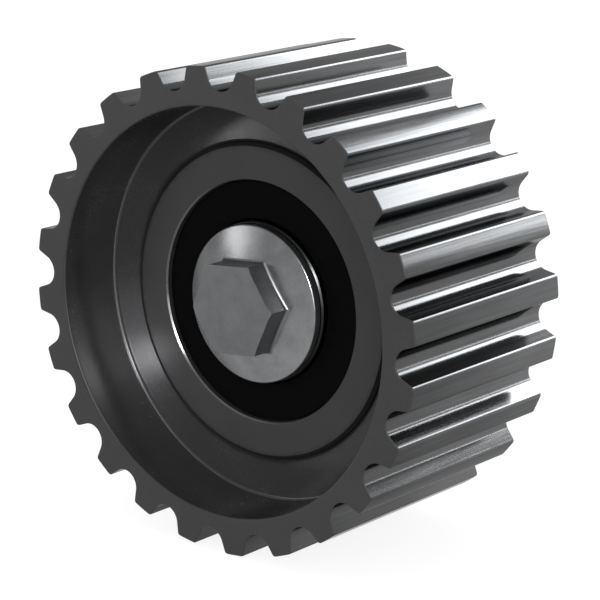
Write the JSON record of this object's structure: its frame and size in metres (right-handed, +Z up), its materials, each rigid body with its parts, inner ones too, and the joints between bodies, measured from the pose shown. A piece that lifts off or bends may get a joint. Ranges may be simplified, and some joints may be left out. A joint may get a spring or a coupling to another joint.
{
  "type": "belt pulley",
  "caption": "Toothed guide pulley for a timing belt, turning on a sealed ball bearing that a flanged hexagon bolt clamps to an engine.",
  "frame": {"origin": "centre of the inner ring's back face, where the pulley is clamped against the engine", "axes": "+Y along the axle, from the front with the bolt's head towards the engine; +Z up"},
  "size_m": [0.0712, 0.0544, 0.0712],
  "materials": {
    "rim_steel": "matte dark grey on the faces, bright where the belt runs",
    "ring_steel": "dark grey ground steel",
    "ball_steel": "polished",
    "seal_rubber": "matte black",
    "cage_plastic": "satin moulded nylon",
    "bolt_steel": "satin zinc grey"
  },
  "bodies": {
    "fixed_core": {"flange_bolt": "bolt_steel", "bearing_inner_ring": "ring_steel"},
    "pulley": {"toothed_pulley": "rim_steel", "bearing_outer_ring": "ring_steel", "front_seal": "seal_rubber", "rear_seal": "seal_rubber"},
    "front_ball_row": {"front_cage": "cage_plastic", "front_ball_1": "ball_steel", "front_ball_2": "ball_steel", "front_ball_3": "ball_steel", "front_ball_4": "ball_steel", "front_ball_5": "ball_steel", "front_ball_6": "ball_steel", "front_ball_7": "ball_steel", "front_ball_8": "ball_steel"},
    "rear_ball_row": {"rear_cage": "cage_plastic", "rear_ball_1": "ball_steel", "rear_ball_2": "ball_steel", "rear_ball_3": "ball_steel", "rear_ball_4": "ball_steel", "rear_ball_5": "ball_steel", "rear_ball_6": "ball_steel", "rear_ball_7": "ball_steel", "rear_ball_8": "ball_steel"}
  },
  "joints": [
    {"name": "pulley_spin", "type": "hinge", "parent": "fixed_core", "child": "pulley", "pos_m": [0, 0, 0], "axis": [0, 1, 0], "continuous": true},
    {"name": "front_row_spin", "type": "hinge", "parent": "fixed_core", "child": "front_ball_row", "pos_m": [0, 0, 0], "axis": [0, 1, 0], "continuous": true},
    {"name": "rear_row_spin", "type": "hinge", "parent": "fixed_core", "child": "rear_ball_row", "pos_m": [0, 0, 0], "axis": [0, 1, 0], "continuous": true}
  ],
  "couplings": [
    {"joint": "front_row_spin", "follows": "pulley_spin", "ratio": 0.61633},
    {"joint": "rear_row_spin", "follows": "pulley_spin", "ratio": 0.61633}
  ]
}
